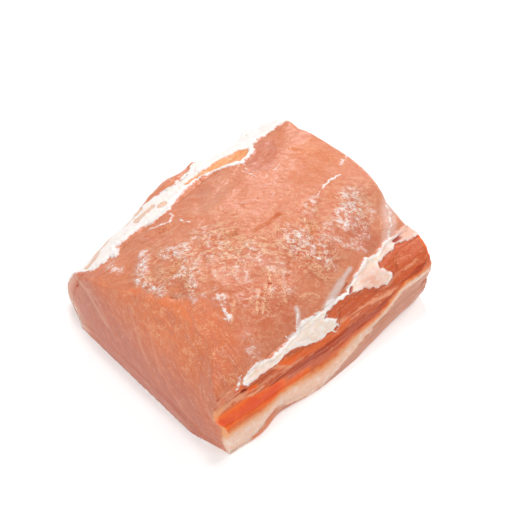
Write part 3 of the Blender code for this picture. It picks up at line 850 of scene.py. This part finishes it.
class Wire:
    """A value that runs between a material's nodes; arithmetic on it adds Math nodes."""

    def __init__(self, graph, socket):
        self.graph = graph
        self.socket = socket

    __add__ = joining("ADD")
    __radd__ = joining("ADD", True)
    __sub__ = joining("SUBTRACT")
    __rsub__ = joining("SUBTRACT", True)
    __mul__ = joining("MULTIPLY")
    __rmul__ = joining("MULTIPLY", True)
    most = joining("MAXIMUM")

    def __abs__(self):
        return self.graph.add("ShaderNodeMath", {"operation": "ABSOLUTE"}, {0: self})


class Graph:
    """A material under construction."""

    def __init__(self, name):
        self.material = bpy.data.materials.new(name)
        self.material.use_nodes = True
        self.tree = self.material.node_tree
        self.tree.nodes.clear()

    def add(self, kind, settings, sockets, output=0):
        node = self.tree.nodes.new(kind)
        for setting, value in settings.items():
            setattr(node, setting, value)
        for key, value in sockets.items():
            if isinstance(value, Wire):
                self.tree.links.new(value.socket, node.inputs[key])
            else:
                node.inputs[key].default_value = value
        return Wire(self, node.outputs[output]) if node.outputs else None

    def mark(self, name):
        return self.add("ShaderNodeAttribute", {"attribute_name": name}, {}, "Fac")

    def step(self, value, low, high):
        """0 to 1 as the value goes from low to high."""
        return self.add(
            "ShaderNodeMapRange", {"interpolation_type": "SMOOTHSTEP"},
            {"Value": value, "From Min": low, "From Max": high},
        )

    def ragged(self, value, grain, by, low, high):
        """A step whose border is roughened by a grain of 0 to 1."""
        return self.step(value + grain * by - by / 2.0, low, high)

    def tint(self, below, above, share):
        """Mixes two colours."""
        return self.add("ShaderNodeMix", {"data_type": "RGBA"}, {0: share, 6: below, 7: above}, 2)

    def coats(self, colour, *coats):
        """Lays coats of (colour, share) over a colour, one after the other."""
        for above, share in coats:
            colour = self.tint(colour, above, share)
        return colour

    def turned(self, where, axis, degrees, stretch):
        """Space turned about an axis, then stretched along its own axes."""
        turn = [math.radians(degrees) if axis == name else 0.0 for name in "XYZ"]
        return self.add(
            "ShaderNodeMapping", {"vector_type": "TEXTURE"},
            {"Vector": where, "Rotation": turn, "Scale": stretch},
        )

    def grain(self, where, size, detail=1.0, rough=0.5, warp=0.0):
        """Noise from 0 to 1 whose lumps are about size millimetres."""
        return self.add("ShaderNodeTexNoise", {}, {
            "Vector": where, "Scale": 1.0 / (size * MM), "Detail": detail, "Roughness": rough,
            "Distortion": warp,
        })


def flesh(name, tones, looks):
    """The material of raw meat; the marks on a piece say where each tissue and tint lies."""
    g = Graph(name)
    here = g.add("ShaderNodeTexCoord", {}, {}, "Object")
    across = g.turned(here, "Z", CURL_TURN, (4.5, 1.0, 1.4))
    curled = g.turned(here, "Z", CURL_TURN, (1.9, 1.0, 1.2))
    lengthwise = g.turned(here, "Z", 0.0, (1.0, 8.0, 1.0))
    raying = g.turned(here, "Y", RAY_TILT, (8.0, 1.0, 1.0))
    cut, wet, deep, dark, brown, warm, blush, deep_tone_and_shade, fan, cream, white = (
        g.mark(mark) for mark in (
            "cut", "wet", "deep", "dark", "brown", "warm", "blush", "deep_tone_and_shade", "fan", "cream", "white",
        )
    )

    blotches = g.grain(here, 11.0, 3.0, 0.6)
    clouds = g.grain(here, 6.0, 2.0, 0.5, 0.6)
    mottle = g.grain(here, 3.2, 3.0, 0.6)
    silk = g.grain(across, 1.35, 2.0, 0.5, 0.5)
    loops = g.grain(curled, 2.7, 1.0, 0.5, 1.3)
    curls = g.grain(curled, 1.25, 1.0, 0.5, 1.3)
    dashes = g.step(g.grain(curled, 2.0), 0.42, 0.52)
    threads = g.grain(lengthwise, 1.9, 2.0, 0.5, 0.9)
    pores = g.grain(here, 0.85)
    dots = g.grain(here, 0.5)
    rays = g.grain(raying, 0.95, 2.0, 0.5, 0.3)
    bands = g.grain(raying, 4.0, 2.0, 0.5, 0.6)
    fray = g.grain(here, 1.5, 3.0, 0.6, 0.5)
    busy = g.mark("curly") * g.step(blotches + wet * 0.2, 0.34, 0.6)
    loop_lines = g.step(abs(loops - 0.5), 0.042, 0.016) * dashes
    curl_lines = g.step(abs(curls - 0.5), 0.08, 0.03) * dashes
    lines = loop_lines.most(curl_lines)
    glints = g.step(curls, 0.62, 0.72)
    shine = g.step(mottle + wet * 0.16, 0.54, 0.7)

    skin = g.coats(
        tones.salmon,
        (tones.blush, g.ragged(blush, blotches, 0.6, 0.1, 0.9)),
        # Pale patches, partly painted sheen
        (tones.film_skin_and_sheen, g.ragged(g.mark("pale") * 0.7, mottle, 0.7, 0.1, 0.8) * 0.6),
        (tones.orange, g.ragged(warm, blotches, 0.6, 0.05, 0.95) * 0.85),
        # Deep patches, partly painted shade of broad folds
        (tones.deep_salmon_and_shade, deep_tone_and_shade * 0.75),
        (tones.deep_salmon_and_shade, g.step(clouds, 0.52, 0.36) * (0.15 + 0.55 * busy)),
        # Painted shade in the furrows of the silk grain, and painted light on its ridges
        (tones.deep_salmon_and_shade, g.step(silk, 0.5, 0.34) * (0.15 + 0.5 * busy)),
        (tones.pale, g.step(silk, 0.55, 0.72) * (0.12 + 0.25 * busy)),
        (tones.gold_and_glint, fan * g.step(pores, 0.4, 0.6)),
        (tones.sheen, wet * shine * 0.36),
        (tones.deep_salmon_and_shade, g.step(curls, 0.36, 0.24) * busy * 0.5),
        # Painted highlights: gold and white glints on the curls of the wet skin
        (tones.gold_and_glint, lines * (0.15 + 0.75 * busy)),
        (tones.white, lines.most(glints * 0.7) * wet * (0.25 + 0.75 * shine)),
    )
    # The cut ends: painted light makes the upper near cut orange, painted shade makes its lower left mauve
    # and its right part deeper
    face = g.coats(
        tones.cut_mid,
        (tones.mauve_and_shade, g.ragged(blush, blotches, 0.5, 0.15, 1.0)),
        (tones.lit_cut_orange, g.ragged(warm, blotches, 0.4, 0.15, 0.95)),
        (tones.deep_salmon_and_shade, deep_tone_and_shade * 0.6),
        (tones.salmon, g.step(bands, 0.5, 0.66) * 0.5),
        (tones.mauve_and_shade, g.step(bands, 0.5, 0.34) * 0.4),
        (tones.pale, g.step(rays, 0.54, 0.70) * 0.3),
        (tones.deep_salmon_and_shade, g.step(rays, 0.46, 0.3) * 0.35),
        # Painted golden glints on the cut
        (tones.gold_and_glint, g.step(dots, 0.62, 0.72) * g.step(rays, 0.45, 0.6) * 0.5),
        (tones.gold_and_glint, g.step(pores, 0.64, 0.72) * warm * 0.4),
        (tones.gold_and_glint, lines * warm * g.step(clouds, 0.5, 0.62) * 0.45),
        (tones.pale, fan * 0.6),
    )
    calm = 1.0 - warm * 0.7
    muscle = g.coats(
        tones.red,
        (tones.strand, g.step(threads, 0.52, 0.7) * 0.16 * calm),
        (tones.maroon, g.step(threads, 0.42, 0.28) * 0.22 * calm),
        (tones.maroon, g.step(fray, 0.5, 0.3) * 0.35 * calm),
        (tones.strand, g.step(fray, 0.56, 0.7) * g.step(threads, 0.45, 0.6) * 0.5 * calm),
        # Painted golden glints on the muscle's threads
        (tones.gold_and_glint, g.step(dots, 0.6, 0.7) * g.step(threads, 0.4, 0.6) * 0.5 * calm),
        (tones.flame, g.ragged(warm, threads, 0.2, 0.05, 0.9)),
        (tones.ember, g.ragged(warm, clouds, 1.0, 0.5, 1.25) * 0.8),
        (tones.strand, g.mark("strand") * g.step(threads, 0.3, 0.5) * 0.85),
        # Maroon band of the muscle, and painted shade in the slits of the seam
        (tones.maroon, g.ragged(deep, threads, 0.3, 0.1, 0.9) * 0.95),
        (tones.flame, g.step(cream, -4.2, -1.2) * 0.45),
        (tones.glow, g.step(cream, -2.4, -0.2) * 0.7),
    )
    creamy = g.coats(
        tones.cream,
        (tones.white, g.step(mottle, 0.45, 0.7) * 0.45),
        (tones.brown, curl_lines * 0.25),
        (tones.glow, g.mark("melt") * 0.9),
    )
    grained = g.step(white, 0.4, 2.4) * (0.45 + 0.55 * g.step(mottle, 0.4, 0.65))
    fatty = g.coats(
        tones.white,
        (tones.fat_shade, grained * (0.2 + 0.8 * g.mark("seam"))),
        (tones.rosy, g.mark("rosy") * g.step(mottle, 0.15, 0.5) * 0.9),
        # Painted shade in fine creases of the fat
        (tones.film, g.step(abs(loops - 0.5), 0.022, 0.006) * 0.5),
    )
    creamed = g.ragged(cream, fray, 2.2, -1.0, 0.8)
    whitened = g.ragged(white, fray, 2.6, -0.5, 0.5)
    lined = g.ragged(g.mark("streak_and_reflection"), pores, 0.9, 0.2, 0.7)
    tan = g.mark("tan")
    colour = g.coats(
        skin,
        (face, cut),
        (tones.pale, g.mark("edge") * 0.7),
        (muscle, dark),
        (g.tint(tones.brown, tones.lit_cut_orange, warm), brown * 0.9),
        # Painted shade in the slits of the lean
        (tones.red, g.step(deep, 0.2, 1.0) * (1.0 - dark) * 0.8),
        (creamy, creamed),
        (fatty, whitened),
        # Grey films, and painted shade in the creases of the seam fat
        (tones.film, g.mark("film") * 0.75),
        (tones.glow, g.mark("amber") * (1.0 - g.step(fray, 0.55, 0.7) * 0.4)),
        # White lines on the lean, and the painted reflection along the base of the near cut
        (tones.white, lined * 0.9),
        (tones.tan, g.step(tan, 0.1, 0.5) * 0.75),
        (tones.cream, g.step(tan, 0.5, 0.9) * 0.6),
        # Painted shade in the small holes
        (tones.pit, g.mark("pit") * 0.9),
    )
    fat = whitened.most(creamed).most(lined)

    # Height of the fine grain, in shares of its own scale
    skin_grain = silk * (0.12 + 0.8 * busy) + pores * (0.08 + 0.5 * busy) + mottle * 0.5
    skin_grain = skin_grain + loop_lines * (0.03 + 0.08 * busy) + curl_lines * busy * 0.06
    face_grain = rays * 0.3 + pores * 0.1
    lean_grain = skin_grain * (1.0 - cut) + face_grain * cut
    lean_grain = lean_grain * (1.0 - dark) + (threads * 0.35 * calm + pores * 0.1) * dark
    bumps = lean_grain * (1.0 - fat) + (fray * 0.3 + mottle * 0.6 + pores * 0.08) * fat
    bump = g.add(
        "ShaderNodeBump", {},
        {"Height": bumps, "Strength": looks.grain_strength, "Distance": looks.grain_height},
    )
    rough = 0.25 + (0.18 + 0.2 * warm) * dark - 0.08 * wet * (1.0 - cut)
    rough = rough + 0.16 * cut + (mottle - 0.5) * 0.14 + 0.14 * fat
    shader = g.add("ShaderNodeBsdfPrincipled", {"subsurface_method": "RANDOM_WALK"}, {
        "Base Color": colour,
        "Roughness": rough,
        "Metallic": 0.0,
        "IOR": 1.42,
        "Subsurface Weight": looks.softness,
        "Subsurface Radius": (1.0, 0.42, 0.28),
        "Subsurface Scale": 2.2 * MM,
        "Normal": bump,
    })
    g.add("ShaderNodeOutputMaterial", {}, {"Surface": shader})
    return g.material


def tone(name, description, *colour):
    return FloatVectorProperty(
        name=name, description=description, default=(*colour, 1.0), size=4, min=0.0, max=1.0,
        subtype="COLOR",
    )


def height(name, description, millimetres, highest=2.0):
    return FloatProperty(
        name=name, description=description, default=millimetres * MM, min=0.0, max=highest * MM,
        precision=5, subtype="DISTANCE", unit="LENGTH",
    )


def factor(name, description, default):
    return FloatProperty(
        name=name, description=description, default=default, min=0.0, max=1.0, subtype="FACTOR",
    )


def angle(name, description, degrees):
    return FloatProperty(
        name=name, description=description, default=math.radians(degrees), subtype="ANGLE",
        unit="ROTATION",
    )


class LoinTones(bpy.types.PropertyGroup):
    """Colours of the meat and fat, and of the light and shade painted on them."""

    salmon: tone("Salmon", "Lean of the top", 0.69, 0.235, 0.125)
    # Deeper lean, and painted shade in furrows, folds and on the right part of the near cut
    deep_salmon_and_shade: tone("Deep salmon", "Lean in the furrows of the top", 0.60, 0.15, 0.062)
    blush: tone("Blush", "Pinker lean of the top", 0.61, 0.19, 0.11)
    # Pale lean, and painted light on the ridges of the silk grain
    pale: tone("Pale", "Lean under a thin film", 0.80, 0.44, 0.31)
    # Filmed lean, and painted sheen in some pale patches
    film_skin_and_sheen: tone("Filmed lean", "Broad pale areas of the top", 0.72, 0.335, 0.215)
    orange: tone("Orange", "Warm patches of the top", 0.74, 0.25, 0.10)
    sheen: tone("Sheen", "Lilac shine round the glints", 0.84, 0.52, 0.45)
    # Pale threads, and painted glints on the skin, the cut and the muscle
    gold_and_glint: tone("Gold", "Fine curls of the wet skin", 0.93, 0.58, 0.35)
    cut_mid: tone("Cut", "Lean of the cut ends", 0.68, 0.225, 0.13)
    # Painted light on the upper part of the near cut
    lit_cut_orange: tone("Cut orange", "Upper part of the near cut", 0.79, 0.222, 0.088)
    # Mauve of the cut, and painted shade on the lower part of the near cut
    mauve_and_shade: tone("Mauve", "Lower part of the near cut", 0.57, 0.19, 0.13)
    red: tone("Red", "Side muscle", 0.62, 0.115, 0.034)
    strand: tone("Strand", "Paler strands of the side muscle", 0.86, 0.38, 0.21)
    maroon: tone("Maroon", "Dark band in the side muscle", 0.43, 0.045, 0.006)
    flame: tone("Flame", "Bright ends and rim of the side muscle", 0.97, 0.17, 0.014)
    ember: tone("Ember", "Core of the side muscle's bright end", 0.80, 0.055, 0.004)
    # Painted shade in the small holes
    pit: tone("Pit", "Small dark holes", 0.42, 0.03, 0.01)
    brown: tone("Brown", "Strip of lean under the cream fat", 0.66, 0.31, 0.21)
    tan: tone("Tan", "Lean that shows through the fat cap", 0.64, 0.36, 0.22)
    cream: tone("Cream", "Side fat", 0.92, 0.60, 0.45)
    glow: tone("Glow", "Border of the side fat against the muscle", 0.88, 0.37, 0.15)
    # White fat; also painted glints on the skin and the painted reflection at the near cut's base
    white: tone("White", "White fat", 0.97, 0.90, 0.87)
    fat_shade: tone("Fat shade", "Duller grains of the white fat", 0.90, 0.71, 0.57)
    rosy: tone("Rosy fat", "Pinker parts of the seam fat", 0.82, 0.42, 0.30)
    # Grey film, and painted shade in creases of the fat
    film: tone("Film", "Grey skin that stands up from the seam", 0.78, 0.68, 0.64)


class LoinLooks(bpy.types.PropertyGroup):
    """Heights of the relief, and the softness of the flesh."""

    wrinkle_height: height("Wrinkles", "Height of the winding ridges on the top", 0.26)
    fold_height: height("Folds", "Height of the glossy folds on the top", 0.55)
    lump_height: height("Lumps", "Height of the broad lumps", 0.45)
    strand_height: height("Strands", "Height of the side muscle's strands", 0.3)
    fat_grain: height("Fat grain", "Height of the grains of the fat", 0.14)
    fat_rise: height("Fat rise", "How far the white fat stands over the lean", 0.9)
    streak_rise: height("Line rise", "How far thin white lines stand out", 0.35)
    grain_height: height("Grain height", "Scale of the finest grain", 1.0, 3.0)
    grain_strength: factor("Grain strength", "Share of the finest grain that shows", 1.0)
    softness: factor("Softness", "Share of the light that passes under the surface", 0.22)


class LoinStudio(bpy.types.PropertyGroup):
    """Light, floor and camera."""

    ambient: FloatProperty(
        name="Surrounding light", description="Strength of the white room", default=0.22, min=0.0,
    )
    floor_glow: FloatProperty(
        name="Floor glow", description="Light of the table's own", default=0.26, min=0.0,
    )
    floor_tone: factor("Floor tone", "How pale the table is", 0.86)
    lamp_power: FloatProperty(
        name="Lamp power", description="Power of one share of the lamps",
        default=1.18, min=0.0, subtype="POWER", unit="POWER",
    )
    azimuth: angle("Azimuth", "Side that the camera looks from", 46.39)
    elevation: angle("Elevation", "Height that the camera looks from", 49.84)
    distance: FloatProperty(
        name="Distance", description="From the camera to its target",
        default=0.529, min=0.1, subtype="DISTANCE", unit="LENGTH",
    )
    target: FloatVectorProperty(
        name="Target", description="Place that the camera looks at",
        default=(-0.01706, 0.02461, 0.0), size=3, subtype="TRANSLATION", unit="LENGTH",
    )
    view_angle: angle("View angle", "Angle across the picture", 28.0)


class LoinPiece:
    """What the operators of the pieces share."""

    bl_options = {"REGISTER", "UNDO"}
    parts = ()

    def execute(self, context):
        scene = context.scene
        for node, name, slot in self.parts:
            finish_name = "raw_" + slot
            material = bpy.data.materials.get(finish_name)
            if material is None:
                material = flesh(finish_name, scene.loin_tones, scene.loin_looks)
            dress(node, name, material, scene.loin_looks)
        return {"FINISHED"}


class LOIN_OT_eye(LoinPiece, bpy.types.Operator):
    """Make the round eye of lean with its wrinkled top and smooth cuts"""

    bl_idname = "loin.eye"
    bl_label = "Eye of the loin"
    parts = (("loin_eye", "eye_of_the_loin", "eye_lean"),)


class LOIN_OT_side(LoinPiece, bpy.types.Operator):
    """Make the layers of the side: seam fat, dark muscle, cream fat and the strip under it"""

    bl_idname = "loin.side"
    bl_label = "Layered side"
    parts = (
        ("seam_fat", "ragged_seam_fat", "white_fat"),
        ("side_muscle", "dark_side_muscle", "dark_lean"),
        ("side_fat", "cream_side_fat", "cream_fat"),
        ("under_lean", "lean_under_side_fat", "under_lean"),
    )


class LOIN_OT_cap(LoinPiece, bpy.types.Operator):
    """Make the white fat cap and the slivers of lean in it and on it"""

    bl_idname = "loin.cap"
    bl_label = "Fat cap"
    parts = (
        ("fat_cap", "white_fat_cap", "white_fat"),
        ("inner_lean", "inner_lean_sliver", "sliver_lean"),
        ("outer_lean_mid", "outer_lean_sliver_mid", "sliver_lean"),
        ("outer_lean_far", "outer_lean_sliver_far", "sliver_lean"),
    )


def softbox(name, way, far, size, power):
    """A square light that faces the block."""
    lamp = bpy.data.lights.new(name, "AREA")
    lamp.shape = "SQUARE"
    lamp.size = size
    lamp.energy = power
    holder = bpy.data.objects.new(name, lamp)
    towards = Vector(way).normalized()
    holder.location = towards * far
    holder.rotation_euler = towards.to_track_quat("Z", "Y").to_euler()
    bpy.context.scene.collection.objects.link(holder)


class LOIN_OT_studio(bpy.types.Operator):
    """Set the pale table, the soft lights and the camera"""

    bl_idname = "loin.studio"
    bl_label = "Studio"
    bl_options = {"REGISTER", "UNDO"}

    def execute(self, context):
        scene = context.scene
        studio = scene.loin_studio
        mesh = bmesh.new()
        bmesh.ops.create_grid(mesh, x_segments=1, y_segments=1, size=4.0)
        table = Graph("pale_table")
        here = table.add("ShaderNodeTexCoord", {}, {}, "Object")
        shade = table.grain(here, 60.0, 2.0, 0.55) * 0.01 + (studio.floor_tone - 0.005)
        tint = table.add("ShaderNodeCombineColor", {}, {0: shade, 1: shade, 2: shade})
        surface = table.add("ShaderNodeBsdfPrincipled", {}, {
            "Base Color": tint,
            "Roughness": 0.8,
            "Emission Color": (1.0, 1.0, 1.0, 1.0),
            "Emission Strength": studio.floor_glow,
        })
        table.add("ShaderNodeOutputMaterial", {}, {"Surface": surface})
        data = bpy.data.meshes.new("table")
        mesh.to_mesh(data)
        mesh.free()
        data.materials.append(table.material)
        floor = bpy.data.objects.new("table", data)
        scene.collection.objects.link(floor)

        world = bpy.data.worlds.new("white_room")
        world.use_nodes = True
        room = world.node_tree.nodes["Background"]
        room.inputs["Color"].default_value = (1.0, 0.995, 0.99, 1.0)
        room.inputs["Strength"].default_value = studio.ambient
        scene.world = world
        for name, way, far, size, power in LAMPS:
            softbox(name, way, far, size, power * studio.lamp_power)
        scene.view_settings.view_transform = "Standard"

        around, up = studio.azimuth, studio.elevation
        back = Vector(
            (math.sin(around) * math.cos(up), -math.cos(around) * math.cos(up), math.sin(up))
        )
        lens = bpy.data.cameras.new("camera")
        lens.sensor_fit = "HORIZONTAL"
        lens.angle = studio.view_angle
        lens.clip_start = 0.01
        camera = bpy.data.objects.new("camera", lens)
        camera.location = Vector(studio.target) + back * studio.distance
        camera.rotation_euler = back.to_track_quat("Z", "Y").to_euler()
        scene.collection.objects.link(camera)
        scene.camera = camera
        return {"FINISHED"}


class LOIN_PT_panel(bpy.types.Panel):
    """Lists the loin's operators and settings"""

    bl_idname = "LOIN_PT_panel"
    bl_label = "Pork loin"
    bl_space_type = "VIEW_3D"
    bl_region_type = "UI"
    bl_category = "Pork loin"

    def draw(self, context):
        for operator in OPERATORS:
            self.layout.operator(operator.bl_idname)
        for group in (context.scene.loin_tones, context.scene.loin_looks, context.scene.loin_studio):
            box = self.layout.box()
            for key in group.__annotations__:
                box.prop(group, key)


OPERATORS = (LOIN_OT_eye, LOIN_OT_side, LOIN_OT_cap, LOIN_OT_studio)
CLASSES = (LoinTones, LoinLooks, LoinStudio, *OPERATORS, LOIN_PT_panel)


def register():
    for made in CLASSES:
        bpy.utils.register_class(made)
    bpy.types.Scene.loin_tones = PointerProperty(type=LoinTones)
    bpy.types.Scene.loin_looks = PointerProperty(type=LoinLooks)
    bpy.types.Scene.loin_studio = PointerProperty(type=LoinStudio)


def unregister():
    del bpy.types.Scene.loin_studio
    del bpy.types.Scene.loin_looks
    del bpy.types.Scene.loin_tones
    for made in reversed(CLASSES):
        bpy.utils.unregister_class(made)


def main():
    register()
    bpy.ops.loin.eye()
    bpy.ops.loin.side()
    bpy.ops.loin.cap()
    bpy.ops.loin.studio()


if __name__ == "__main__":
    main()
